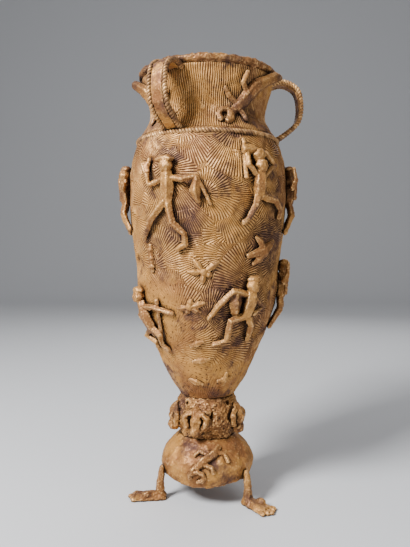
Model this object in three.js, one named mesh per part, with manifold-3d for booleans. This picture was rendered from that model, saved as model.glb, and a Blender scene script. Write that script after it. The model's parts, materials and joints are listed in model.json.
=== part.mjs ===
// Lost-wax cast bronze vase on three feet, with figures in relief. Millimetres, +Z up.
// Azimuth 0 faces the front (-Y) and grows towards the right (+X).
import * as THREE from 'three';
import { mergeVertices } from 'three/addons/utils/BufferGeometryUtils.js';
import Module from 'manifold-3d';

const wasm = await Module();
wasm.setup();

// Heights
const hemHeight = 26;
const stemBottom = 74;
const bodyBottom = 122;
const shoulderHeight = 424;
const rimBottom = 491;
const overallHeight = 500;

// Radii
const hemRadius = 51;
const bellRadius = 55.8;
const bellTopRadius = 33.5;
const stemFootRadius = 32.8;
const stemRadius = 38.2;
const bodyBottomRadius = 31;
const bellyRadius = 91.5;
const shoulderRadius = 79;
const neckRadius = 66.7;
const mouthRadius = 77;
const rimRadius = 80.4;

// Walls and gaps
const neckWall = 4;
const bodyWall = 4.8;
const floorThickness = 6;
const stemWall = 4;
const bellWall = 3.6;
const clearance = 0.3;
const around = 28;
const footAround = 20;

// Handles: straps with a twisted rope along each edge
const handleAzimuths = { front: -28, right: 93, back: 213 };
const handleReach = 33;
const strapWidth = 13;
const strapThickness = 4;
const handleRopeRadius = 2.6;
const shoulderRopeRadius = 3.6;
const shoulderRopeHeight = shoulderHeight - 5;

// Feet
const ankleRadius = 60;
const ankleHeight = 20;
const legRadius = 4.2;
const footLength = 38;
const toeCount = 5;
const toePitch = 5.2;

const radians = THREE.MathUtils.degToRad;
const vertical = new THREE.Vector3(0, 0, 1);
const polar = (azimuth, radius, height) => new THREE.Vector3(
  radius * Math.sin(radians(azimuth)),
  -radius * Math.cos(radians(azimuth)),
  height,
);
const outward = (point) => new THREE.Vector3(point.x, point.y, 0).normalize();

// Finishes of the cast bronze
const bronze = (color, roughness) => new THREE.MeshStandardMaterial({ color, roughness, metalness: 0.75 });
const finishes = {
  wall: bronze(0x7d5f38, 0.62),
  rope: bronze(0x8f6c3d, 0.55),
  figure: bronze(0xa8804a, 0.5),
  dark: bronze(0x584230, 0.66),
};

// A closed mesh becomes a solid once its shared corners are one.
const toSolid = (geometry) => {
  geometry.deleteAttribute('normal');
  geometry.deleteAttribute('uv');
  const merged = mergeVertices(geometry, 1e-4);
  const corners = merged.index.array;
  const triVerts = [];
  for (let i = 0; i < corners.length; i += 3) {
    const [a, b, c] = corners.slice(i, i + 3);
    if (a !== b && b !== c && c !== a) triVerts.push(a, b, c);
  }
  return new wasm.Manifold(new wasm.Mesh({
    numProp: 3,
    vertProperties: Float32Array.from(merged.attributes.position.array),
    triVerts: Uint32Array.from(triVerts),
  }));
};

const toMesh = (name, solid, material) => {
  const made = solid.getMesh();
  const geometry = new THREE.BufferGeometry();
  geometry.setAttribute('position', new THREE.Float32BufferAttribute(made.vertProperties, 3));
  geometry.setIndex(new THREE.Uint32BufferAttribute(made.triVerts, 1));
  geometry.computeVertexNormals();
  const mesh = new THREE.Mesh(geometry, material);
  mesh.name = name;
  return mesh;
};

const union = (solids) => solids.reduce((whole, solid) => whole.add(solid));

// Turned forms: a profile of [radius, height] pairs, up the outside and down the inside
const turned = (profile, segments = around) => {
  const points = profile.map(([radius, height]) => new THREE.Vector2(radius, height));
  return new THREE.LatheGeometry(points, segments).rotateX(Math.PI / 2);
};

const smooth = (profile, steps) => {
  const curve = new THREE.SplineCurve(profile.map(([radius, height]) => new THREE.Vector2(radius, height)));
  return curve.getPoints(steps).map((point) => [point.x, point.y]);
};

const inset = (outline, wall) => outline.map(([radius, height]) => [radius - wall, height]).reverse();

// Heights on the body and on the bell, as shares of the way up
const bodyHeight = (share) => THREE.MathUtils.lerp(bodyBottom, shoulderHeight, share);
const bellHeight = (share) => THREE.MathUtils.lerp(hemHeight, stemBottom, share);

const bodyOutline = smooth([
  [bodyBottomRadius, bodyBottom], [0.51 * bellyRadius, bodyHeight(0.08)],
  [0.71 * bellyRadius, bodyHeight(0.22)], [0.87 * bellyRadius, bodyHeight(0.35)],
  [0.92 * bellyRadius, bodyHeight(0.51)], [bellyRadius, bodyHeight(0.74)],
  [0.99 * bellyRadius, bodyHeight(0.87)], [0.93 * bellyRadius, bodyHeight(0.955)],
  [shoulderRadius, shoulderHeight],
], 10);
const neckOutline = smooth([
  [shoulderRadius, shoulderHeight + clearance], [neckRadius + 3.5, shoulderHeight + 14],
  [neckRadius, shoulderHeight + 26], [neckRadius + 2.8, rimBottom - 28], [mouthRadius - 4, rimBottom - 17],
  [mouthRadius, rimBottom - clearance],
], 6);
const stemOutline = smooth([
  [stemFootRadius, stemBottom + clearance], [stemFootRadius + 0.6, stemBottom + 6],
  [stemRadius, stemBottom + 17], [stemRadius, stemBottom + 26], [stemRadius - 2, bodyBottom - 12],
  [bodyBottomRadius, bodyBottom - clearance],
], 7);
const bellOutline = smooth([
  [hemRadius, hemHeight], [bellRadius, bellHeight(0.33)], [0.955 * bellRadius, bellHeight(0.54)],
  [0.83 * bellRadius, bellHeight(0.74)], [bellTopRadius, stemBottom],
], 6);
const rimOutline = [
  [rimRadius, rimBottom + 3], [rimRadius, overallHeight - 2.5], [mouthRadius, overallHeight],
];

const radiusOn = (outline) => (height) => {
  const above = outline.findIndex(([, z]) => z >= height);
  if (above <= 0) return above === 0 ? outline[0][0] : outline.at(-1)[0];
  const [lowRadius, low] = outline[above - 1];
  const [highRadius, high] = outline[above];
  return THREE.MathUtils.mapLinear(height, low, high, lowRadius, highRadius);
};
const vesselRadius = radiusOn([...bodyOutline, ...neckOutline]);
const stemRadiusAt = radiusOn(stemOutline);

// The space that a relief on the wall has to leave free
const grown = (outline) => outline.map(([radius, height]) => [radius + clearance, height]);
const vesselSeat = toSolid(turned([
  [0, bodyBottom - clearance], ...grown(bodyOutline), ...grown(neckOutline), ...grown(rimOutline),
  [mouthRadius, overallHeight + clearance], [0, overallHeight + clearance],
]));
const stemSeat = toSolid(turned([[0, stemBottom], ...grown(stemOutline), [0, bodyBottom]], footAround));
const floor = toSolid(new THREE.BoxGeometry(400, 400, 50).translate(0, 0, -25));

// Loft between rings of points, with both ends closed
const loft = (rings) => {
  const sides = rings[0].length;
  const points = rings.flat();
  const index = [];
  for (let ring = 0; ring < rings.length - 1; ring += 1) {
    for (let side = 0; side < sides; side += 1) {
      const next = (side + 1) % sides;
      const [a, b] = [ring * sides + side, ring * sides + next];
      index.push(a, b, b + sides, a, b + sides, a + sides);
    }
  }
  const centre = (ring) => ring.reduce((sum, point) => sum.add(point), new THREE.Vector3()).divideScalar(sides);
  const start = points.push(centre(rings[0])) - 1;
  const end = points.push(centre(rings.at(-1))) - 1;
  const last = (rings.length - 1) * sides;
  for (let side = 0; side < sides; side += 1) {
    const next = (side + 1) % sides;
    index.push(start, next, side, end, last + side, last + next);
  }
  return toSolid(new THREE.BufferGeometry().setFromPoints(points).setIndex(index));
};

// Sweep a section, whose points are [across, up] pairs, along a path
const sweep = (path, sectionAt, sideAt) => loft(path.map((centre, i) => {
  const before = path[Math.max(i - 1, 0)];
  const after = path[Math.min(i + 1, path.length - 1)];
  const along = after.clone().sub(before).normalize();
  const across = sideAt(centre, along);
  const up = along.clone().cross(across);
  return sectionAt(i).map(([a, b]) => centre.clone().addScaledVector(across, a).addScaledVector(up, b));
}));

const round = (radius, flat = 1, sides = 5) => Array.from({ length: sides }, (_, i) => {
  const angle = (2 * Math.PI * i) / sides;
  return [radius * Math.cos(angle), radius * flat * Math.sin(angle)];
});

const besideWall = (centre, along) => {
  const side = outward(centre).cross(along);
  return (side.length() < 0.2 ? vertical.clone().cross(along) : side).normalize();
};

// A modelled limb: a tapered roll of wax through points, with a rounded far end if it is thick
const pointedRadius = 2.6;
const roll = (points, radii, flat = 1, sides = 5) => {
  const [beforeLast, last] = points.slice(-2);
  const end = last.clone().lerp(beforeLast, -0.6 * radii.at(-1) / last.distanceTo(beforeLast));
  const pointed = radii.at(-1) < pointedRadius;
  const sizes = pointed ? radii : [...radii, 0.5 * radii.at(-1)];
  return sweep(pointed ? points : [...points, end], (i) => round(sizes[i], flat, sides), besideWall);
};

const onVessel = ([azimuth, height, out]) => polar(azimuth, vesselRadius(height) + out, height);
const limb = (points, radii, flat, sides) => roll(points.map(onVessel), radii, flat, sides);

// A rounded lump, with its sizes across, outwards and upwards
const lump = (centre, sizes) => toSolid(
  new THREE.SphereGeometry(1, 6, 4)
    .scale(...sizes)
    .rotateZ(Math.atan2(centre.x, -centre.y))
    .translate(centre.x, centre.y, centre.z),
);
const lumpOn = (point, sizes) => lump(onVessel(point), sizes);

const relief = (name, solids, material = finishes.figure) => (
  toMesh(name, union(solids).subtract(vesselSeat), material)
);

// Vessel
const floorTop = bodyBottom + floorThickness;
const bodyInsideRows = 8;
const bodyInside = Array.from({ length: bodyInsideRows + 1 }, (_, i) => {
  const height = THREE.MathUtils.lerp(shoulderHeight, floorTop, i / bodyInsideRows);
  return [vesselRadius(height) - bodyWall, height];
});
const vesselBody = toMesh('vessel_body', toSolid(turned([
  [0, bodyBottom], ...bodyOutline, ...bodyInside, [0, floorTop],
])), finishes.wall);
const vesselNeck = toMesh('vessel_neck', toSolid(turned([
  ...neckOutline, ...inset(neckOutline, neckWall), neckOutline[0],
])), finishes.wall);
const rimInside = mouthRadius - neckWall - 3;
const rimFoot = [mouthRadius - 0.7, rimBottom];
const rimLip = toMesh('rim_lip', toSolid(turned([
  [rimInside + 1, rimBottom], rimFoot, ...rimOutline,
  [rimInside + 2, overallHeight], [rimInside, rimBottom + 5], [rimInside + 1, rimBottom],
])), finishes.rope);

const ropeCentre = vesselRadius(shoulderRopeHeight) + 0.35 * shoulderRopeRadius;
const ropeSection = round(shoulderRopeRadius, 1, 6).map(([a, b]) => [ropeCentre + a, shoulderRopeHeight + b]);
const shoulderRope = toMesh(
  'shoulder_rope',
  toSolid(turned([...ropeSection, ropeSection[0]])).subtract(vesselSeat),
  finishes.rope,
);

// Handles
const handlePath = (azimuth, shift) => {
  const reach = mouthRadius + handleReach;
  const side = polar(azimuth + 90, 1, 0);
  return new THREE.CatmullRomCurve3([
    [mouthRadius - 6, rimBottom - 4], [mouthRadius + 12, rimBottom], [reach - 5, rimBottom - 8],
    [reach, rimBottom - 26], [reach - 3, rimBottom - 46], [reach - 15, shoulderHeight + 9],
    [shoulderRadius - 5, shoulderHeight - 4],
  ].map(([radius, height]) => polar(azimuth, radius, height).addScaledVector(side, shift)));
};
const handleSteps = 9;
const handle = (place, azimuth) => {
  const side = polar(azimuth + 90, 1, 0);
  const [halfWidth, halfThickness] = [strapWidth / 2, strapThickness / 2];
  const strapSection = [
    [-halfWidth, -halfThickness], [halfWidth, -halfThickness],
    [halfWidth, halfThickness], [-halfWidth, halfThickness],
  ];
  const strap = sweep(handlePath(azimuth, 0).getPoints(handleSteps), () => strapSection, () => side.clone());
  const ropeShift = halfWidth + handleRopeRadius + clearance;
  const ropes = Object.entries({ left: -ropeShift, right: ropeShift }).map(([name, shift]) => toMesh(
    `handle_${place}_rope_${name}`,
    sweep(
      handlePath(azimuth, shift).getPoints(handleSteps),
      () => round(handleRopeRadius, 1, 5),
      () => side.clone(),
    ).subtract(handleSeat),
    finishes.rope,
  ));
  return [toMesh(`handle_${place}_strap`, strap.subtract(handleSeat), finishes.wall), ...ropes];
};
const ropeRoom = round(shoulderRopeRadius + clearance, 1, 6)
  .map(([a, b]) => [ropeCentre + a, shoulderRopeHeight + b]);
const handleSeat = vesselSeat.add(toSolid(turned([...ropeRoom, ropeRoom[0]])));
const handles = Object.entries(handleAzimuths).flatMap(([place, azimuth]) => handle(place, azimuth));

// Crocodiles that climb the neck to the rim, with a curled tail
const ringPath = (azimuth, height, radius, out, turn, steps = 8) => (
  Array.from({ length: steps }, (_, i) => {
    const angle = (turn * i) / (steps - 1);
    const wall = vesselRadius(height);
    return [
      azimuth + THREE.MathUtils.radToDeg((radius * Math.sin(angle)) / wall),
      height - radius * Math.cos(angle), out,
    ];
  })
);
const crocodile = (name, azimuth, mirror) => {
  const beside = ([a, height, out]) => [azimuth + mirror * a, height, out];
  const at = ([a, below, out]) => beside([a, rimBottom - below, out]);
  const tailCurl = ringPath(-10, rimBottom - 54, 7.5, 2, 5.4, 7).map(beside);
  const solids = [
    limb([[0, 46, 2], [8, 36, 3.5], [18, 20, 4], [31, 10, 5.5]].map(at), [5, 7, 7.5, 5.5], 0.7, 6),
    limb([[31, 10, 5.5], [40, 4, 9], [47, 2, 11]].map(at), [6, 5, 2.6], 0.7, 6),
    limb([[12, 28, 2.5], [5, 18, 3.5], [8, 7, 3.5]].map(at), [3.2, 3, 2.6], 0.8, 4),
    limb([[3, 41, 2], [-6, 33, 3], [-10, 25, 2.5]].map(at), [3.2, 3, 2.6], 0.8, 4),
    limb([[2, 44, 2], [7, 51, 3], [8, 57, 2.5]].map(at), [3.2, 3, 2.6], 0.8, 4),
    limb([[0, 46, 2], [-5, 51, 2], [-8, 60.5, 2]].map(at), [4.6, 3.8, 3], 0.8, 4),
    limb(tailCurl, Array(7).fill(3), 0.8, 4),
  ];
  return relief(name, solids, finishes.rope);
};
const crocodiles = [crocodile('crocodile_right', 25, 1), crocodile('crocodile_left', -47, -1)];

// People in relief: a head, a body and limbs of rolled wax around the figure's own azimuth
const headSizes = [7.6, 6.6, 8];
const bodyRadii = [6, 7.4, 6.2];
const person = (name, azimuth, height, pose) => {
  const at = ([a, z, out]) => [azimuth + a, height + z, out];
  const solids = [
    lumpOn(at(pose.head), headSizes),
    ...pose.hat.map(([place, sizes]) => lumpOn(at(place), sizes)),
    limb(pose.body.map(at), bodyRadii, 0.85, 5),
    ...pose.limbs.map(([points, radii]) => limb(points.map(at), radii, 0.9, 4)),
  ];
  return relief(name, solids);
};

const arm = [3.2, 2.9, 2.7];
const leg = [4.4, 3.8, 2.9, 3];
const striding = {
  head: [0, 21, 6],
  hat: [[[-1, 28, 6], [12, 6, 4.4]]],
  body: [[0, 15, 4], [1, 1, 5], [0, -14, 4]],
  limbs: [
    [[[-1, 9, 4], [-13, 2, 6], [-15, 15, 6]], arm],
    [[[2, 9, 4], [11, 6, 7], [20, 9, 5]], arm],
    [[[-1, -15, 5], [-12, -34, 7], [-19, -48, 4], [-22, -54, 4]], leg],
    [[[1, -15, 5], [4, -38, 8], [12, -50, 6], [12, -61, 3]], leg],
    [[[12, -60, 3], [6, -66, 3]], [3, 2.6]],
    [[[-15, 15, 6], [-18, 24, 5], [-23, 27, 3]], [4, 5.4, 2.4]],
    [[[-16, 20, 5], [-15, 31, 4]], [3.4, 2]],
    [[[20, 9, 5], [19, -6, 6], [21, -18, 4]], [2.8, 5.6, 2]],
    [[[20, 8, 5], [29, -20, 3]], [1.9, 1.6]],
  ],
};
const carrying = {
  head: [0, 22, 6],
  hat: [[[-1, 33, 5], [8, 6, 8]]],
  body: [[0, 16, 4], [-1, 3, 5], [-1, -10, 4]],
  limbs: [
    [[[-2, 11, 4], [-10, 22, 7], [-10, 36, 5]], arm],
    [[[2, 11, 4], [12, 24, 7], [5, 36, 5]], arm],
    [[[-11, 50, 4], [-11, 8, 4]], [2.3, 2.3]],
    [[[-13, 38, 5], [-5, 39, 5]], [4.6, 4.6]],
    [[[-2, -9, 4], [-5, -19, 8], [-9, -33, 5], [-12, -38, 4]], leg],
    [[[1, -9, 4], [12, -14, 8], [19, -22, 6], [20, -31, 4]], leg],
  ],
};
const spearing = {
  head: [0, 20, 7],
  hat: [[[0, 27, 6], [6.6, 5.6, 4]]],
  body: [[0, 15, 5], [0, 1, 6], [0, -12, 5]],
  limbs: [
    [[[-1, 9, 5], [-9, 4, 10], [-7, 14, 13]], arm],
    [[[1, 9, 5], [9, 2, 9], [14, 8, 10]], arm],
    [[[-8, -9, 12], [-7, 14, 13], [-6, 28, 12]], [2, 2.2, 1.5]],
    [[[-1, -12, 5], [-5, -27, 9], [-7, -42, 5], [-10, -47, 4]], leg],
    [[[1, -12, 5], [6, -25, 9], [8, -38, 5], [11, -43, 4]], leg],
  ],
};
const running = {
  head: [0, 17, 7],
  hat: [[[1, 24, 6], [8, 6, 4]]],
  body: [[0, 12, 5], [-1, -1, 6], [-3, -14, 5]],
  limbs: [
    [[[1, 7, 5], [10, -6, 8], [2, -13, 8]], arm],
    [[[-1, 7, 5], [-15, 12, 6], [-24, -1, 5], [-33, -18, 3]], [3.4, 3.6, 3.2, 2.4]],
    [[[-12, 12, 3], [-13, 0, 4], [-12, -11, 3]], [5.4, 7, 4.8]],
    [[[-4, -15, 5], [-16, -20, 8], [-17, -42, 5], [-28, -47, 3]], leg],
    [[[-1, -15, 5], [2, -26, 8], [3, -37, 6], [5, -44, 3]], leg],
  ],
};
const kneeling = {
  head: [-8, 25, 6],
  hat: [[[-9, 32, 5], [9, 6, 4.4]]],
  body: [[-7, 19, 4], [-3, 5, 6], [1, -10, 5]],
  limbs: [
    [[[-5, 14, 5], [10, 15, 7], [27, 9, 4]], arm],
    [[[-8, 14, 5], [-13, 3, 7], [-5, -5, 7]], arm],
    [[[14, 24, 4], [11, -16, 4]], [2.2, 2]],
    [[[0, -10, 5], [-9, -19, 8], [0, -27, 5], [-4, -33, 3]], leg],
    [[[2, -10, 5], [12, -17, 8], [8, -28, 5], [14, -34, 3]], leg],
  ],
};
const upperHeight = bodyHeight(0.79);
const lowerHeight = bodyHeight(0.385);
const people = [
  ['hunter_striding', -27, upperHeight, striding],
  ['bearer_with_staff', 36, upperHeight, carrying],
  ['spearman_right', 84, upperHeight, spearing],
  ['spearman_left', -84, upperHeight, spearing],
  ['bearer_back', 146, upperHeight, carrying],
  ['hunter_back', -140, upperHeight, striding],
  ['runner_front', 33, lowerHeight, running],
  ['kneeler_left', -55, lowerHeight - 22, kneeling],
  ['runner_right', 80, lowerHeight + 14, spearing],
  ['runner_back', 165, lowerHeight, running],
  ['kneeler_back', -125, lowerHeight - 12, kneeling],
].map((row) => person(...row));

// Star flowers: leaves that spread from a knob
const leafRadii = [2, 3.6, 1.2];
const star = (name, azimuth, height, rays) => relief(name, [
  lumpOn([azimuth, height, 1.5], [4.2, 3, 4.2]),
  ...rays.map(([a, z]) => limb(
    [[azimuth, height, 1.2], [azimuth + 0.6 * a, height + 0.6 * z, 1.6], [azimuth + a, height + z, 0.8]],
    leafRadii, 0.7, 4,
  )),
]);
const upperRays = [[-12, 0], [-7, 13], [11, 11], [6, -4], [-1, -13]];
const lowerRays = [[12, 5], [-3, -8], [-10, -2], [2, 9], [9, -6]];
const flowers = [
  star('star_flower_upper', -3, bodyHeight(0.493), upperRays),
  star('star_flower_lower', -14, bodyHeight(0.368), lowerRays),
  star('star_flower_back', 178, bodyHeight(0.556), upperRays),
];

// Bird with spread wings, leaves and plants
const birdHeight = bodyHeight(0.56);
const birdAt = ([azimuth, z, out]) => [azimuth, birdHeight + z, out];
const bird = relief('bird', [
  limb([[29, -4, 1.5], [44, 2, 3], [55, 12, 1.5]].map(birdAt), [2.4, 6.6, 2.4], 0.6, 6),
  limb([[44, 3, 2], [39, 12, 3], [35, 17, 1.5]].map(birdAt), [5, 4, 1.8], 0.7, 4),
  limb([[45, 1, 2], [38, -8, 3], [34, -13, 1.5]].map(birdAt), [5, 4, 1.8], 0.7, 4),
]);
const leafShapes = {
  leaf_upper: [-10, 0.232, 8, 3],
  leaf_middle: [-7, 0.166, 10, 2],
  leaf_lower: [-16, 0.076, 8, -3],
};
const leaves = Object.entries(leafShapes).map(([name, [azimuth, share, halfLength, rise]]) => {
  const height = bodyHeight(share);
  const spread = THREE.MathUtils.radToDeg(halfLength / vesselRadius(height));
  return relief(name, [limb([
    [azimuth - spread, height - rise, 0.8], [azimuth, height, 1.8], [azimuth + spread, height + rise, 0.8],
  ], [1.8, 4, 1.4], 0.6, 5)]);
});
const crossAt = ([azimuth, z, out]) => [azimuth, bodyHeight(0.086) + z, out];
const crossFlower = relief('cross_flower', [
  limb([[13, -2, 0.8], [23, 0, 1.8], [33, 2, 0.8]].map(crossAt), [2, 3.8, 1.6], 0.7),
  limb([[22, -8, 0.8], [23, 0, 1.8], [25, 9, 0.8]].map(crossAt), [1.8, 3.4, 1.6], 0.7),
]);
const plantAzimuth = -45;
const plantAt = (z, out) => [plantAzimuth, bodyHeight(0.54) + z, out];
const plant = relief('plant_strip', [
  limb([plantAt(15, 1), plantAt(1, 1.4), plantAt(-15, 1)], [2.6, 3.6, 2.4], 0.8),
  ...[-9, 0, 9].map((step) => lumpOn(plantAt(step, 2), [4.4, 3, 3.2])),
]);

// Stem: a hollow waist with holes, carried by crouching figures
const stemHoleRadius = 3;
const stemHoleHeight = bodyBottom - 7;
const slitAzimuth = 8;
const slitHeight = stemBottom + 28;
const slitSizes = [2.4, 30, 12];
const throughStem = (geometry, azimuth, height) => toSolid(
  geometry.rotateZ(radians(azimuth)).translate(...polar(azimuth, stemRadius, height).toArray()),
);
const bore = (azimuth) => throughStem(
  new THREE.CylinderGeometry(stemHoleRadius, stemHoleRadius, slitSizes[1], 6), azimuth, stemHoleHeight,
);
const stemCuts = [
  ...[-43, 45, 137, -135].map(bore),
  throughStem(new THREE.BoxGeometry(...slitSizes), slitAzimuth, slitHeight),
];
const stemTube = toSolid(turned(
  [...stemOutline, ...inset(stemOutline, stemWall), stemOutline[0]], footAround,
));
const stem = toMesh('stem', stemTube.subtract(union(stemCuts)), finishes.dark);
const supporterAzimuths = { left: -76, front: -20, right: 62, back: 180 };
const supporters = Object.entries(supporterAzimuths).map(([place, azimuth]) => {
  const at = ([a, up, out]) => {
    const height = stemBottom + up;
    return polar(azimuth + a, stemRadiusAt(height) + out, height);
  };
  const solids = [
    lump(at([0, 12, 5]), [6.8, 6, 6.6]),
    roll([[0, 16, 3], [2, 24, 4], [0, 37, 2]].map(at), [5.4, 6.4, 4], 0.8),
    roll([[3, 34, 2], [19, 27, 5], [13, 15, 4]].map(at), [3.2, 3, 2.8], 0.9, 4),
    roll([[-3, 34, 2], [-19, 28, 5], [-14, 16, 4]].map(at), [3.2, 3, 2.8], 0.9, 4),
  ];
  return toMesh(`supporter_${place}`, union(solids).subtract(stemSeat), finishes.dark);
});

// Bell foot: a three-cornered skirt whose hem rises at the corners, where the legs are
const legAzimuths = { left: -69, right: 51, back: 171 };
const cornerShare = 0.03;
const hemWave = 2.5;
const cornering = (azimuth) => Math.cos(3 * radians(azimuth - legAzimuths.right));
const bellShell = (extra) => {
  const outside = bellOutline.map(([radius, height], i) => [radius + extra, height - (i === 0 ? extra : 0)]);
  const inside = inset(bellOutline, bellWall).map(([radius, height], i, all) => (
    [radius - extra, height - (i === all.length - 1 ? extra : 0)]
  ));
  const geometry = turned([...outside, ...inside, outside[0]], footAround);
  const place = geometry.attributes.position;
  for (let i = 0; i < place.count; i += 1) {
    const [x, y, z] = [place.getX(i), place.getY(i), place.getZ(i)];
    const share = THREE.MathUtils.clamp((stemBottom - z) / (stemBottom - hemHeight), 0, 1);
    const corner = cornering(THREE.MathUtils.radToDeg(Math.atan2(x, -y))) * share;
    const wider = 1 + cornerShare * corner;
    place.setXYZ(i, x * wider, y * wider, z + hemWave * corner * share);
  }
  return toSolid(geometry);
};
const bell = toMesh('bell_foot', bellShell(0), finishes.wall);
const bellSeat = bellShell(clearance);
const bellRadiusAt = radiusOn(bellOutline);
const onBell = ([azimuth, height, out]) => {
  const share = (stemBottom - height) / (stemBottom - hemHeight);
  const wider = 1 + cornerShare * cornering(azimuth) * share;
  return polar(azimuth, bellRadiusAt(height) * wider + out, height);
};
const bellRing = Array.from({ length: 8 }, (_, i) => {
  const angle = (5.2 * i) / 7;
  return [-13 + 9 * Math.sin(angle), 39 - 6.5 * Math.cos(angle), 2];
});
const bellCore = bellSeat.add(toSolid(turned([
  [0, hemHeight], [bellRadius - 12, hemHeight + 4], [bellRadius - 12, bellHeight(0.6)],
  [bellTopRadius - 4, stemBottom - 5], [0, stemBottom - 5],
], footAround)));
const lizard = toMesh('lizard', union([
  roll([[19, 69, 2], [9, 63, 3], [-6, 56, 3], [-13, 49, 2]].map(onBell), [3.2, 5, 4.8, 3.2], 0.7),
  roll([[10, 64, 2], [23, 62, 2.8], [26, 54, 2]].map(onBell), [2.6, 2.4, 2.2], 0.8, 4),
  roll([[2, 61, 2], [-12, 65, 2.6], [-18, 60, 2]].map(onBell), [2.6, 2.4, 2.2], 0.8, 4),
  roll([[-8, 54, 2], [5, 50, 2.6], [7, 43, 2]].map(onBell), [2.6, 2.4, 2.2], 0.8, 4),
  roll([[-12, 52, 2], [-18, 47, 2], [-19, 41, 1.8]].map(onBell), [2.9, 2.7, 2.5], 0.8, 4),
  roll(bellRing.map(onBell), Array(8).fill(2.4), 0.8, 4),
]).subtract(bellCore), finishes.figure);

// Legs: a thin shank from the hem to a flat foot with five toes
const footTurns = { left: -24, right: -6, back: 0 };
const makeLeg = (place, azimuth) => {
  const heading = azimuth + footTurns[place];
  const forward = polar(heading, 1, 0);
  const side = polar(heading + 90, 1, 0);
  const heel = polar(azimuth, ankleRadius, 0);
  const along = (distance, aside, height) => (
    heel.clone().addScaledVector(forward, distance).addScaledVector(side, aside).setZ(height)
  );
  const shank = roll([
    polar(azimuth, bellRadius + 1, hemHeight + 14), polar(azimuth, bellRadius + 2.5, hemHeight + 5),
    polar(azimuth, ankleRadius, ankleHeight), along(0, 0, 6),
  ], [2.6, legRadius, legRadius, legRadius + 1.8], 1, 6);
  const soleSizes = [[5, 5], [7, 8.5], [8.5, 7.5], [11.5, 5], [13, 4]];
  const solePath = [-7, -3, 8, 20, footLength - 10].map((distance) => along(distance, 0, 2));
  const sole = sweep(solePath, (i) => {
    const [halfWidth, rise] = soleSizes[i];
    return round(1, 1, 6).map(([a, b]) => [a * halfWidth, b * rise]);
  }, () => side.clone());
  const toes = Array.from({ length: toeCount }, (_, i) => {
    const aside = toePitch * (i - (toeCount - 1) / 2);
    const reach = footLength - 0.5 * Math.abs(aside);
    return roll(
      [along(footLength - 13, 0.9 * aside, 2), along(reach - 2, aside, 2)], [2.6, 2.9], 1, 4,
    );
  });
  const instep = lump(along(15, 5, 7), [5, 6, 4.4]);
  const solid = union([shank, sole, instep, ...toes]).subtract(bellSeat).subtract(floor);
  return toMesh(`leg_${place}`, solid, finishes.figure);
};
const legs = Object.entries(legAzimuths).map(([place, azimuth]) => makeLeg(place, azimuth));

// The vase, moved so that the middle of its box stands on the origin
const vase = new THREE.Group();
vase.add(
  vesselBody, vesselNeck, rimLip, shoulderRope, ...handles, ...crocodiles, ...people,
  ...flowers, bird, ...leaves, crossFlower, plant, stem, ...supporters, bell, lizard, ...legs,
);
const middle = new THREE.Box3().setFromObject(vase).getCenter(new THREE.Vector3());
vase.position.set(-middle.x, -middle.y, 0);

export default vase;
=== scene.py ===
import json
import math
import random

import bpy
import numpy as np
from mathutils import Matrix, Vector


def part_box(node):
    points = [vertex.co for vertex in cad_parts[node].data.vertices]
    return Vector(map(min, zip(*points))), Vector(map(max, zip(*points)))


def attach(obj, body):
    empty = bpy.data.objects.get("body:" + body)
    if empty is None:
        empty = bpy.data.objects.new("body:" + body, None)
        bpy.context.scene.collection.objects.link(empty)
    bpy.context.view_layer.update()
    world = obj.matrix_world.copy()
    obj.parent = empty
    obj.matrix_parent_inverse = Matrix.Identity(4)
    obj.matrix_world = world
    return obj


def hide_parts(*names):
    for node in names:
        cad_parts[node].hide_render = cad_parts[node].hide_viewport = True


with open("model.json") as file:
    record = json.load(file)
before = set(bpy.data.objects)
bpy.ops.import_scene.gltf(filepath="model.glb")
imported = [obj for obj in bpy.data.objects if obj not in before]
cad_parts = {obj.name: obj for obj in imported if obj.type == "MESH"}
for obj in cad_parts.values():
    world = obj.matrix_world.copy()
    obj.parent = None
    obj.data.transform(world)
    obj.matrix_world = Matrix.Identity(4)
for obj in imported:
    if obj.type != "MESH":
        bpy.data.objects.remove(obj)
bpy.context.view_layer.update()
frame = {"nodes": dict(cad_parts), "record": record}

# the vase's axis in the row frame, from its rim
rimLow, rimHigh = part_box("rim_lip")
axisX = (rimLow.x + rimHigh.x) / 2
axisY = (rimLow.y + rimHigh.y) / 2


def atAzimuth(azimuth, radius, height):
    angle = math.radians(azimuth)  # 0 faces the camera, positive is to the right
    return Vector((axisX + radius * math.sin(angle), axisY - radius * math.cos(angle), height))


def pickOnly(piece):
    bpy.ops.object.select_all(action="DESELECT")
    piece.select_set(True)
    bpy.context.view_layer.objects.active = piece


def applyAll(piece):
    pickOnly(piece)
    for modifier in list(piece.modifiers):
        bpy.ops.object.modifier_apply(modifier=modifier.name)


def newMesh(name, points, faces):
    mesh = bpy.data.meshes.new(name)
    mesh.from_pydata(points, [], faces)
    mesh.update()
    piece = bpy.data.objects.new(name, mesh)
    bpy.context.scene.collection.objects.link(piece)
    return piece


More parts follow.
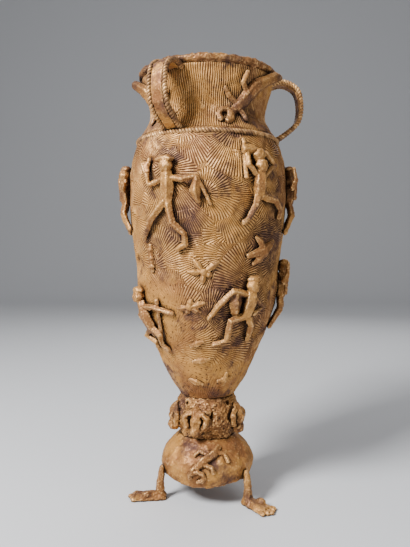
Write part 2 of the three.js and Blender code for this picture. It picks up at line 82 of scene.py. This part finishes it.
# Bronze: colours are linear, sizes of the patterns are per metre. The lightest colour is worn bronze with a
# painted highlight on the crests; the darkest is painted shade in the hollows and also small dark pits
bronzeLooks = {
    "wall_bronze": {
        "shadeAndPits": (0.028, 0.012, 0.008, 1), "body": (0.245, 0.099, 0.031, 1),
        "gold": (0.490, 0.235, 0.054, 1),
        "rubbedAndHighlight": (0.800, 0.460, 0.180, 1), "patch": (0.088, 0.040, 0.031, 1),
        "goldFrom": 0.42, "patchShare": 0.54, "roughness": (0.44, 0.68), "metallic": 0.45, "bump": 0.45,
    },
    "rope_bronze": {
        "shadeAndPits": (0.018, 0.008, 0.005, 1), "body": (0.210, 0.088, 0.028, 1),
        "gold": (0.400, 0.190, 0.050, 1),
        "rubbedAndHighlight": (0.680, 0.390, 0.155, 1), "patch": (0.080, 0.036, 0.024, 1),
        "goldFrom": 0.47, "patchShare": 0.50, "roughness": (0.42, 0.64), "metallic": 0.45, "bump": 0.40,
    },
    "figure_bronze": {
        "shadeAndPits": (0.022, 0.009, 0.006, 1), "body": (0.255, 0.108, 0.032, 1),
        "gold": (0.450, 0.220, 0.056, 1),
        "rubbedAndHighlight": (0.740, 0.430, 0.170, 1), "patch": (0.105, 0.046, 0.028, 1),
        "goldFrom": 0.44, "patchShare": 0.55, "roughness": (0.40, 0.62), "metallic": 0.45, "bump": 0.40,
    },
    "dark_bronze": {
        "shadeAndPits": (0.016, 0.007, 0.005, 1), "body": (0.215, 0.088, 0.026, 1),
        "gold": (0.410, 0.195, 0.048, 1),
        "rubbedAndHighlight": (0.680, 0.380, 0.140, 1), "patch": (0.075, 0.034, 0.022, 1),
        "goldFrom": 0.45, "patchShare": 0.55, "roughness": (0.45, 0.68), "metallic": 0.40, "bump": 0.50,
    },
}
# places on the wall: a golden pitted one at the lower left, and darker ones
wallSpots = {
    "gold": [((-44, 0.068, 0.225), 0.050), ((-5, 0.062, 0.165), 0.042), ((28, 0.085, 0.385), 0.045)],
    "dark": [((22, 0.082, 0.235), 0.055), ((-18, 0.090, 0.320), 0.036), ((52, 0.085, 0.300), 0.050)],
}


def castBronze(name, look, threaded=False):
    material = bpy.data.materials.new(name)
    material.use_nodes = True
    nodes, links = material.node_tree.nodes, material.node_tree.links
    shader = nodes["Principled BSDF"]
    shader.inputs["Metallic"].default_value = look["metallic"]
    shader.inputs["Specular IOR Level"].default_value = 0.3
    place = nodes.new("ShaderNodeTexCoord").outputs["Object"]

    def noise(scale, detail, roughness=0.6):
        texture = nodes.new("ShaderNodeTexNoise")
        texture.inputs["Scale"].default_value = scale
        texture.inputs["Detail"].default_value = detail
        texture.inputs["Roughness"].default_value = roughness
        links.new(place, texture.inputs["Vector"])
        return texture.outputs["Fac"]

    def between(source, low, high, lowTo=0.0, highTo=1.0):
        step = nodes.new("ShaderNodeMapRange")
        step.interpolation_type = "SMOOTHSTEP"
        for socket, value in (("From Min", low), ("From Max", high), ("To Min", lowTo), ("To Max", highTo)):
            step.inputs[socket].default_value = value
        links.new(source, step.inputs["Value"])
        return step.outputs["Result"]

    def blend(share, first, second):
        mix = nodes.new("ShaderNodeMix")
        mix.data_type = "RGBA"
        links.new(share, mix.inputs["Factor"])
        for socket, colour in ((mix.inputs["A"], first), (mix.inputs["B"], second)):
            if isinstance(colour, tuple):
                socket.default_value = colour
            else:
                links.new(colour, socket)
        return mix.outputs["Result"]

    def combine(operation, first, second):
        node = nodes.new("ShaderNodeMath")
        node.operation = operation
        links.new(first, node.inputs[0])
        links.new(second, node.inputs[1])
        return node.outputs[0]

    def nearSpot(spot, reach):
        distance = nodes.new("ShaderNodeVectorMath")
        distance.operation = "DISTANCE"
        distance.inputs[1].default_value = atAzimuth(*spot)
        links.new(place, distance.inputs[0])
        return between(distance.outputs["Value"], reach, 0.35 * reach)

    # high picks the raised threads and sharp edges for worn bronze with a painted highlight
    if threaded:
        crest = nodes.new("ShaderNodeAttribute")
        crest.attribute_name = "crest"
        high = between(crest.outputs["Fac"], 0.62, 0.98)
        hollowShade = between(crest.outputs["Fac"], 0.52, 0.06, 0.0, 0.90)
    else:
        edges = nodes.new("ShaderNodeNewGeometry").outputs["Pointiness"]
        high = between(edges, 0.500, 0.560)
        hollowShade = between(edges, 0.488, 0.420)
    # ambient occlusion, used below to paint shade where nearby surfaces crowd in
    shade = nodes.new("ShaderNodeAmbientOcclusion")
    shade.samples = 6
    shade.inputs["Distance"].default_value = 0.008
    mottle = between(noise(150, 5), 0.36, 0.66)
    golden = between(noise(21, 4), look["goldFrom"], look["goldFrom"] + 0.18)
    darker = between(noise(27, 5), look["patchShare"] - 0.03, look["patchShare"] + 0.09)
    if threaded:
        for spot, reach in wallSpots["gold"]:
            golden = combine("MAXIMUM", golden, nearSpot(spot, reach))
        for spot, reach in wallSpots["dark"]:
            darker = combine("MAXIMUM", darker, nearSpot(spot, reach))
    colour = blend(golden, look["body"], look["gold"])
    colour = blend(combine("MULTIPLY", darker, between(mottle, 0.0, 1.0, 0.95, 0.55)), colour, look["patch"])
    # worn bronze with a painted highlight on the crests, weaker in the dark patches
    wearAndHighlight = combine("MULTIPLY", high, between(mottle, 0.0, 1.0, 0.25, 0.95))
    wearAndHighlight = combine("MULTIPLY", wearAndHighlight, between(darker, 0.0, 1.0, 1.0, 0.45))
    colour = blend(wearAndHighlight, colour, look["rubbedAndHighlight"])
    # painted shade in the hollows between threads and at inner edges
    colour = blend(hollowShade, colour, look["shadeAndPits"])
    # painted shade from ambient occlusion
    colour = blend(between(shade.outputs["AO"], 0.90, 0.35, 0.0, 0.92), colour, look["shadeAndPits"])
    # small dark specks of pitting, in the same dark colour
    colour = blend(between(noise(760, 3), 0.60, 0.76, 0.0, 0.6), colour, look["shadeAndPits"])
    links.new(colour, shader.inputs["Base Color"])
    smoothest, roughest = look["roughness"]
    links.new(between(mottle, 0.0, 1.0, roughest, smoothest), shader.inputs["Roughness"])
    bump = nodes.new("ShaderNodeBump")
    bump.inputs["Strength"].default_value = look["bump"]
    bump.inputs["Distance"].default_value = 0.0006
    links.new(noise(620, 5), bump.inputs["Height"])
    links.new(bump.outputs["Normal"], shader.inputs["Normal"])
    return material


bronzes = {name: castBronze(name, look) for name, look in bronzeLooks.items()}
threadedBronze = castBronze("threaded_bronze", bronzeLooks["wall_bronze"], threaded=True)
slotOf = {row["node"]: row["material_slot"] for row in frame["record"]["subparts"]}
print("bronzes ready")


def settle(piece, slot, *nodes, paint=None, sharpAngle=None):
    piece.data.materials.clear()
    piece.data.materials.append(paint or bronzes[slot])
    pickOnly(piece)
    if sharpAngle:
        bpy.ops.object.shade_smooth_by_angle(angle=math.radians(sharpAngle))
    else:
        bpy.ops.object.shade_smooth()
    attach(piece, "root")
    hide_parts(*nodes)


def waves(points, size, count, seed):
    # bands of soft lumps that run on unbroken from piece to piece
    chance = random.Random(seed)
    total = np.zeros(len(points))
    for _ in range(count):
        heading = Vector([chance.gauss(0, 1) for _ in range(3)]).normalized()
        turns = 2 * math.pi / (size * chance.uniform(0.7, 1.5))
        total += np.sin(points @ (np.array(heading) * turns) + chance.uniform(0, 6.28))
    return total / math.sqrt(count / 2)


# Vessel wall: wax threads laid in fans, and upright threads round the neck
wallSettings = {
    "threadPitch": 0.0023, "threadHeight": 0.0011, "wall": 0.0046, "fanCount": 120,
    "fanReach": 0.034, "burstReach": 0.010, "burstShare": 0.2, "stepLift": 0.30,
    "columnStep": 0.00062, "rowStep": 0.00066, "lumpHeight": 0.00034, "pitHeight": 0.0004,
    "smoothBelow": 0.150, "smoothPatch": (-42, 0.222, 0.045), "innerColumns": 18, "levelGap": 0.001,
    # bursts and fans that face the front, as azimuth, height and heading
    "frontFans": [
        (4, 0.352, None), (-6, 0.300, 200), (20, 0.330, 320), (-40, 0.300, 70), (14, 0.395, 250),
        (-12, 0.402, 290), (30, 0.270, 20), (-30, 0.262, 110), (8, 0.225, None), (-55, 0.350, 160),
    ],
}


def outlineOf(node):
    # the levels of the faces that look away from the axis
    mesh = frame["nodes"][node].data
    levels = []
    for face in mesh.polygons:
        outward = Vector((face.center.x - axisX, face.center.y - axisY, 0)).normalized()
        if face.normal.dot(outward) > 0.3:
            spots = [mesh.vertices[index].co for index in face.vertices]
            levels += [(spot.z, math.hypot(spot.x - axisX, spot.y - axisY)) for spot in spots]
    levels.sort()
    kept = [levels[0]]
    for height, radius in levels:
        if height - kept[-1][0] > wallSettings["levelGap"]:
            kept.append((height, radius))
    return kept


def curveThrough(outline, heights):
    # a smooth line through the outline's levels
    z = np.array([row[0] for row in outline])
    r = np.array([row[1] for row in outline])
    slope = np.gradient(r, z)
    at = np.clip(np.searchsorted(z, heights) - 1, 0, len(z) - 2)
    step = z[at + 1] - z[at]
    t = np.clip((heights - z[at]) / step, 0, 1)
    return (
        (2 * t**3 - 3 * t**2 + 1) * r[at] + (t**3 - 2 * t**2 + t) * step * slope[at]
        + (-2 * t**3 + 3 * t**2) * r[at + 1] + (t**3 - t**2) * step * slope[at + 1]
    )


def threadRidge(phase):
    return (0.5 - 0.5 * np.cos(2 * math.pi * phase)) ** 0.75


def fanSeeds():
    chance = random.Random(11)
    settings = wallSettings
    seeds = []
    for azimuth, height, heading in settings["frontFans"]:
        reach = settings["burstReach"] if heading is None else settings["fanReach"]
        seeds.append((math.radians(azimuth), height, math.radians(heading or 0), reach, 0.0))
    for _ in range(settings["fanCount"]):
        reach = settings["burstReach"] if chance.random() < settings["burstShare"] else settings["fanReach"]
        heading = math.radians(chance.uniform(0, 360))
        lift = chance.uniform(-1, 1) * settings["stepLift"]
        seeds.append((chance.uniform(-math.pi, math.pi), chance.uniform(0.12, 0.43), heading, reach, lift))
    return seeds


def fanThreads(azimuths, heights, radii):
    settings = wallSettings
    bestGap = np.full(azimuths.shape, 1e9)
    crest = np.zeros(azimuths.shape)
    lifts = np.zeros(azimuths.shape)
    for seedAzimuth, seedHeight, heading, reach, lift in fanSeeds():
        along = (np.mod(azimuths - seedAzimuth + math.pi, 2 * math.pi) - math.pi) * radii
        up = heights - seedHeight
        gap = along**2 + up**2
        nearer = gap < bestGap
        bestGap = np.where(nearer, gap, bestGap)
        fromApexAlong = along + reach * math.cos(heading)
        fromApexUp = up + reach * math.sin(heading)
        distance = np.hypot(fromApexAlong, fromApexUp)
        # threads are added as a fan opens, so that their pitch stays near one size
        doubling = 2.0 ** np.clip(np.floor(np.log2(np.maximum(distance, 1e-4) / 0.020) + 0.5), -1, 2)
        count = np.round(2 * math.pi * 0.020 * doubling / settings["threadPitch"])
        ridge = threadRidge(np.arctan2(fromApexUp, fromApexAlong) * count / (2 * math.pi))
        ridge = ridge * np.clip(distance / 0.006, 0.2, 1)
        crest = np.where(nearer, ridge, crest)
        lifts = np.where(nearer, lift, lifts)
    patchAzimuth, patchHeight, patchSize = settings["smoothPatch"]
    away = np.hypot((azimuths - math.radians(patchAzimuth)) * radii, heights - patchHeight)
    calm = np.clip(away / patchSize - 0.35, 0.4, 1)
    calm = calm * np.clip((heights - settings["smoothBelow"]) / 0.03, 0.35, 1)
    crest = 0.6 + (crest - 0.6) * calm
    return crest + lifts * calm, crest, 1 - calm


def uprightThreads(azimuths, heights, radii):
    wobble = 0.0006 * np.sin(heights * 190 + 3 * np.sin(azimuths * 7))
    crest = threadRidge((azimuths * 0.0705 + wobble) / wallSettings["threadPitch"])
    return crest, crest, np.zeros(azimuths.shape)


def wallPanel(name, node, sector, sectorCount, threads):
    settings = wallSettings
    outline = outlineOf(node)
    low, high = outline[0][0], outline[-1][0]
    rowCount = int((high - low) / settings["rowStep"]) + 1
    biggest = max(radius for _, radius in outline)
    columnCount = int(2 * math.pi * biggest / sectorCount / settings["columnStep"]) + 1
    innerCount = settings["innerColumns"]
    heights = np.linspace(low, high, rowCount)
    radii = curveThrough(outline, heights)
    start, stop = (2 * math.pi * (sector + k) / sectorCount - math.pi for k in (0, 1))

    def grid(columns, reach):
        azimuths, levels = np.meshgrid(np.linspace(start, stop, columns), heights)
        spread = np.repeat((radii + reach)[:, None], columns, axis=1)
        return azimuths, levels, spread

    azimuths, levels, spread = grid(columnCount, 0)
    flat = np.stack([spread * np.sin(azimuths), -spread * np.cos(azimuths), levels], axis=-1).reshape(-1, 3)
    lumps = waves(flat, 0.011, 14, 3).reshape(levels.shape) * 0.6 + waves(flat, 0.034, 8, 5).reshape(levels.shape)
    pits = np.clip(waves(flat, 0.0042, 22, 9).reshape(levels.shape) - 0.7, 0, 1.2)
    fade = np.clip(np.minimum(levels - low, high - levels) / 0.002, 0, 1)
    rise, crest, bare = threads(azimuths, levels, spread)
    rise = (rise - 0.5) * settings["threadHeight"] + lumps * settings["lumpHeight"]
    rise = rise - pits * bare * settings["pitHeight"]
    spread = spread + rise * fade
    outer = np.stack([axisX + spread * np.sin(azimuths), axisY - spread * np.cos(azimuths), levels], axis=-1)
    azimuths, levels, spread = grid(innerCount, -settings["wall"])
    inner = np.stack([axisX + spread * np.sin(azimuths), axisY - spread * np.cos(azimuths), levels], axis=-1)
    points = np.concatenate([outer.reshape(-1, 3), inner.reshape(-1, 3)])
    base = rowCount * columnCount

    def outAt(row, column):
        return row * columnCount + column

    def inAt(row, column):
        return base + row * innerCount + column

    faces = []
    for row in range(rowCount - 1):
        faces += [
            (outAt(row, c), outAt(row, c + 1), outAt(row + 1, c + 1), outAt(row + 1, c))
            for c in range(columnCount - 1)
        ]
        faces += [
            (inAt(row, c + 1), inAt(row, c), inAt(row + 1, c), inAt(row + 1, c + 1))
            for c in range(innerCount - 1)
        ]
        lastOut, lastIn = columnCount - 1, innerCount - 1
        faces.append((inAt(row, 0), outAt(row, 0), outAt(row + 1, 0), inAt(row + 1, 0)))
        faces.append((outAt(row, lastOut), inAt(row, lastIn), inAt(row + 1, lastIn), outAt(row + 1, lastOut)))
    top = rowCount - 1
    faces.append((
        *(outAt(0, c) for c in reversed(range(columnCount))), *(inAt(0, c) for c in range(innerCount)),
    ))
    faces.append((
        *(outAt(top, c) for c in range(columnCount)), *(inAt(top, c) for c in reversed(range(innerCount))),
    ))
    piece = newMesh(name, points.tolist(), faces)
    marks = piece.data.attributes.new("crest", "FLOAT", "POINT")
    depth = np.clip(crest - 0.45 * pits * bare, 0, 1).reshape(-1)
    depth = np.concatenate([depth, np.full(rowCount * innerCount, 0.55)])
    marks.data.foreach_set("value", depth.astype(np.float32))
    settle(piece, "wall_bronze", node, paint=threadedBronze, sharpAngle=80)
    return piece


wallSectors = 6
for sector in range(wallSectors):
    wallPanel(f"body_wall_{sector + 1}", "vessel_body", sector, wallSectors, fanThreads)
neckSectors = 2
for sector in range(neckSectors):
    wallPanel(f"neck_wall_{sector + 1}", "vessel_neck", sector, neckSectors, uprightThreads)
print("vessel walls laid with threads")

# the vessel's inside floor, a shallow dish on the foot of the wall
floorDish = {"radius": 0.0300, "thickness": 0.006, "sides": 96, "rings": 5}
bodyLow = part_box("vessel_body")[0].z
bpy.ops.object.select_all(action="DESELECT")
bpy.ops.mesh.primitive_cylinder_add(
    vertices=floorDish["sides"], radius=floorDish["radius"], depth=floorDish["thickness"],
    location=(axisX, axisY, bodyLow + floorDish["thickness"] / 2 + 0.0004),
)
dish = bpy.context.object
dish.name = "body_floor"
bpy.ops.object.transform_apply(location=True, rotation=True, scale=True)
bpy.ops.object.mode_set(mode="EDIT")
for _ in range(floorDish["rings"]):
    bpy.ops.mesh.select_all(action="DESELECT")
    bpy.ops.object.mode_set(mode="OBJECT")
    for face in dish.data.polygons:
        face.select = face.normal.z > 0.9 and len(face.vertices) == floorDish["sides"]
    bpy.ops.object.mode_set(mode="EDIT")
    bpy.ops.mesh.select_mode(type="FACE")
    bpy.ops.mesh.inset(thickness=0.004, depth=-0.0004)
bpy.ops.object.mode_set(mode="OBJECT")
settle(dish, "dark_bronze", "vessel_body", sharpAngle=40)

# Pieces modelled in wax and cast: rounded from their solids, then roughened
castSettings = {
    "voxel": 0.0008, "smoothRounds": 6, "lumpSize": 0.006, "lumpHeight": 0.0008,
    "pitSize": 0.0016, "pitHeight": 0.0004, "swell": 0.0003,
}


def roughTexture(name, kind, size):
    texture = bpy.data.textures.get(name) or bpy.data.textures.new(name, type=kind)
    texture.noise_scale = size
    return texture


def castPiece(node, **changes):
    settings = {**castSettings, **changes}
    mesh = frame["nodes"][node].data.copy()
    piece = bpy.data.objects.new(f"{node}_cast", mesh)
    bpy.context.scene.collection.objects.link(piece)
    pickOnly(piece)
    bpy.ops.object.mode_set(mode="EDIT")
    bpy.ops.mesh.select_all(action="SELECT")
    bpy.ops.mesh.remove_doubles(threshold=0.000002)
    bpy.ops.object.mode_set(mode="OBJECT")
    remesh = piece.modifiers.new("wax", "REMESH")
    remesh.mode = "VOXEL"
    remesh.voxel_size = settings["voxel"]
    smooth = piece.modifiers.new("thumbed", "SMOOTH")
    smooth.factor = 0.5
    smooth.iterations = settings["smoothRounds"]
    swell = piece.modifiers.new("swell", "DISPLACE")
    swell.strength = settings["swell"]
    swell.mid_level = 0
    for kind, size, height in (
        ("CLOUDS", settings["lumpSize"], settings["lumpHeight"]),
        ("STUCCI", settings["pitSize"], settings["pitHeight"]),
    ):
        rough = piece.modifiers.new(kind.lower(), "DISPLACE")
        rough.texture = roughTexture(f"{kind.lower()}{size}", kind, size)
        rough.strength = height
        rough.mid_level = 0.5
    applyAll(piece)
    settle(piece, slotOf[node], node)
    return piece


people = [
    "hunter_striding", "bearer_with_staff", "spearman_right", "spearman_left", "bearer_back",
    "hunter_back", "runner_front", "kneeler_left", "runner_right", "runner_back", "kneeler_back",
]
smallReliefs = [
    "star_flower_upper", "star_flower_lower", "star_flower_back", "bird", "leaf_upper",
    "leaf_middle", "leaf_lower", "cross_flower", "plant_strip", ]
for node in people + ["crocodile_right", "crocodile_left", "lizard"]:
    castPiece(
        node, voxel=0.0007, smoothRounds=5, lumpSize=0.0070, lumpHeight=0.0016, pitHeight=0.0006, swell=0.0007,
    )
for node in smallReliefs:
    castPiece(node, voxel=0.0006, smoothRounds=3, lumpSize=0.0050, lumpHeight=0.0009, swell=0.0005)
for node in ["supporter_left", "supporter_front", "supporter_right", "supporter_back"]:
    castPiece(node, voxel=0.0007, smoothRounds=7, lumpHeight=0.0034, lumpSize=0.006, swell=0.0012)
for node in ["leg_left", "leg_right", "leg_back"]:
    castPiece(node, voxel=0.0008, smoothRounds=5, lumpHeight=0.0016, pitHeight=0.0008)
castPiece("stem", voxel=0.0010, smoothRounds=4, lumpSize=0.0075, lumpHeight=0.0058, pitHeight=0.0016)
castPiece("bell_foot", voxel=0.0011, smoothRounds=8, lumpSize=0.012, lumpHeight=0.0034, pitHeight=0.0007)
castPiece("rim_lip", voxel=0.0009, smoothRounds=8, lumpSize=0.009, lumpHeight=0.0036, pitHeight=0.0010)
for place in ("front", "right", "back"):
    castPiece(f"handle_{place}_strap", voxel=0.0008, smoothRounds=10, lumpHeight=0.0012)
print("cast pieces roughened")

# Ropes of two wax threads twisted together
ropeSettings = {"twist": 0.0072, "stepsInTurn": 12, "strandShare": 0.56, "sides": 3}


def smoothPath(points, count):
    # a centripetal curve through the points, as the handles are bent
    points = [points[0] * 2 - points[1], *points, points[-1] * 2 - points[-2]]
    path = []
    spans = len(points) - 3
    for step in range(count):
        at = step / (count - 1) * spans
        first = min(int(at), spans - 1)
        p0, p1, p2, p3 = points[first:first + 4]
        t = at - first
        d0, d1, d2 = ((b - a).length ** 0.5 or 1e-4 for a, b in ((p0, p1), (p1, p2), (p2, p3)))
        tangent1 = ((p1 - p0) / d0 - (p2 - p0) / (d0 + d1) + (p2 - p1) / d1) * d1
        tangent2 = ((p2 - p1) / d1 - (p3 - p1) / (d1 + d2) + (p3 - p2) / d2) * d1
        path.append(
            p1 * (2 * t**3 - 3 * t**2 + 1) + tangent1 * (t**3 - 2 * t**2 + t)
            + p2 * (-2 * t**3 + 3 * t**2) + tangent2 * (t**3 - t**2)
        )
    return path


def twistedRope(name, node, path, radius, sideAt, closed=False):
    settings = ropeSettings
    strandRadius = radius * settings["strandShare"]
    gaps = np.cumsum([0] + [(b - a).length for a, b in zip(path, path[1:])])
    turns = round(gaps[-1] / settings["twist"])
    count = int(turns * settings["stepsInTurn"])
    wanted = np.linspace(0, gaps[-1], count, endpoint=not closed)
    spots = np.stack([np.interp(wanted, gaps, [p[k] for p in path]) for k in range(3)], axis=1)
    curve = bpy.data.curves.new(name, "CURVE")
    curve.dimensions = "3D"
    curve.bevel_depth = strandRadius
    curve.bevel_resolution = settings["sides"]
    curve.use_fill_caps = True
    for strand in (0, math.pi):
        spline = curve.splines.new("POLY")
        spline.points.add(count - 1)
        spline.use_cyclic_u = closed
        for i, spot in enumerate(spots):
            centre = Vector(spot)
            ahead = Vector(spots[(i + 1) % count] if closed or i < count - 1 else spots[i])
            behind = Vector(spots[i - 1] if closed or i > 0 else spots[i])
            along = (ahead - behind).normalized()
            side = sideAt(centre)
            up = along.cross(side).normalized()
            angle = 2 * math.pi * turns * i / (count if closed else count - 1) + strand
            point = centre + (radius - strandRadius) * (side * math.cos(angle) + up * math.sin(angle))
            spline.points[i].co = (*point, 1)
    piece = bpy.data.objects.new(name, curve)
    bpy.context.scene.collection.objects.link(piece)
    pickOnly(piece)
    bpy.ops.object.convert(target="MESH")
    piece = bpy.context.object
    settle(piece, "rope_bronze", node)
    return piece


handleSettings = {
    "azimuths": {"front": -28, "right": 93, "back": 213}, "ropeShift": 0.0094, "ropeRadius": 0.0030,
    "bend": [
        (0.074, 0.487), (0.089, 0.491), (0.105, 0.483), (0.110, 0.465),
        (0.107, 0.445), (0.095, 0.433), (0.0755, 0.420),
    ],
}
for place, azimuth in handleSettings["azimuths"].items():
    acrossHandle = (atAzimuth(azimuth + 90, 1, 0) - atAzimuth(0, 0, 0)).normalized()
    for name, shift in (("left", -handleSettings["ropeShift"]), ("right", handleSettings["ropeShift"])):
        bend = [atAzimuth(azimuth, r, z) + acrossHandle * shift for r, z in handleSettings["bend"]]
        twistedRope(
            f"{place}_rope_{name}_twist", f"handle_{place}_rope_{name}", smoothPath(bend, 80),
            handleSettings["ropeRadius"], lambda centre, side=acrossHandle: side,
        )
shoulder = {"radius": 0.0812, "height": 0.419, "ropeRadius": 0.0033}
ringPath = [atAzimuth(360 * i / 240, shoulder["radius"], shoulder["height"]) for i in range(241)]
twistedRope(
    "shoulder_rope_twist", "shoulder_rope", ringPath, shoulder["ropeRadius"],
    lambda centre: Vector((centre.x - axisX, centre.y - axisY, 0)).normalized(), closed=True,
)
print("ropes twisted")

# Studio: a pale floor that curves up behind, a soft key from the upper left, and the photograph's camera
studio = {
    "cameraDistance": 0.672, "cameraHeight": 0.2949, "cameraAside": -0.003, "pitch": 2.5, "lens": 36.86,
    "keyPlace": (-0.95, -0.90, 1.25), "keyPower": 68, "keySize": 0.5,
    "fillPlace": (1.2, -0.9, 0.6), "fillPower": 5, "fillSize": 1.2,
    "backPlace": (0.3, 1.2, 1.1), "backPower": 8, "worldStrength": 0.32,
    "floorSize": 16, "floorShift": -5.6, "bendSteps": 14, "bendStep": 0.16, "backdropRise": 5,
}
bpy.ops.object.select_all(action="DESELECT")
bpy.ops.mesh.primitive_plane_add(size=studio["floorSize"], location=(0, studio["floorShift"], 0))
ground = bpy.context.object
ground.name = "studio_floor"
bpy.ops.object.transform_apply(location=True, rotation=True, scale=True)
bpy.ops.object.mode_set(mode="EDIT")
bpy.ops.mesh.select_mode(type="VERT")
bpy.ops.mesh.select_all(action="DESELECT")
bpy.ops.object.mode_set(mode="OBJECT")
for vertex in ground.data.vertices:
    vertex.select = vertex.co.y > 0
bpy.ops.object.mode_set(mode="EDIT")
for step in range(studio["bendSteps"]):
    tilt = (step + 0.5) / studio["bendSteps"] * math.pi / 2
    forward, upward = studio["bendStep"] * math.cos(tilt), studio["bendStep"] * math.sin(tilt)
    bpy.ops.mesh.extrude_region_move(TRANSFORM_OT_translate={"value": (0, forward, upward)})
bpy.ops.mesh.extrude_region_move(TRANSFORM_OT_translate={"value": (0, 0, studio["backdropRise"])})
bpy.ops.object.mode_set(mode="OBJECT")
bpy.ops.object.shade_smooth()
groundPaint = bpy.data.materials.new("pale_floor")
groundPaint.use_nodes = True
groundPaint.node_tree.nodes["Principled BSDF"].inputs["Base Color"].default_value = (0.60, 0.61, 0.63, 1)
groundPaint.node_tree.nodes["Principled BSDF"].inputs["Roughness"].default_value = 0.8
ground.data.materials.append(groundPaint)


def softLight(name, place, power, size):
    lamp = bpy.data.lights.new(name, "AREA")
    lamp.energy = power
    lamp.size = size
    light = bpy.data.objects.new(name, lamp)
    light.location = place
    light.rotation_mode = "QUATERNION"
    light.rotation_quaternion = (Vector((axisX, axisY, 0.27)) - Vector(place)).to_track_quat("-Z", "Y")
    bpy.context.scene.collection.objects.link(light)


softLight("key", studio["keyPlace"], studio["keyPower"], studio["keySize"])
softLight("fill", studio["fillPlace"], studio["fillPower"], studio["fillSize"])
softLight("back", studio["backPlace"], studio["backPower"], studio["fillSize"])
world = bpy.data.worlds.new("studio")
world.use_nodes = True
world.node_tree.nodes["Background"].inputs["Color"].default_value = (0.86, 0.86, 0.88, 1)
world.node_tree.nodes["Background"].inputs["Strength"].default_value = studio["worldStrength"]
bpy.context.scene.world = world

lens = bpy.data.cameras.new("photo_camera")
lens.lens = studio["lens"]
lens.sensor_width = 36
camera = bpy.data.objects.new("photo_camera", lens)
camera.location = (axisX + studio["cameraAside"], axisY - studio["cameraDistance"], studio["cameraHeight"])
camera.rotation_euler = (math.radians(90 - studio["pitch"]), 0, 0)
bpy.context.scene.collection.objects.link(camera)
bpy.context.scene.camera = camera
print("studio ready")
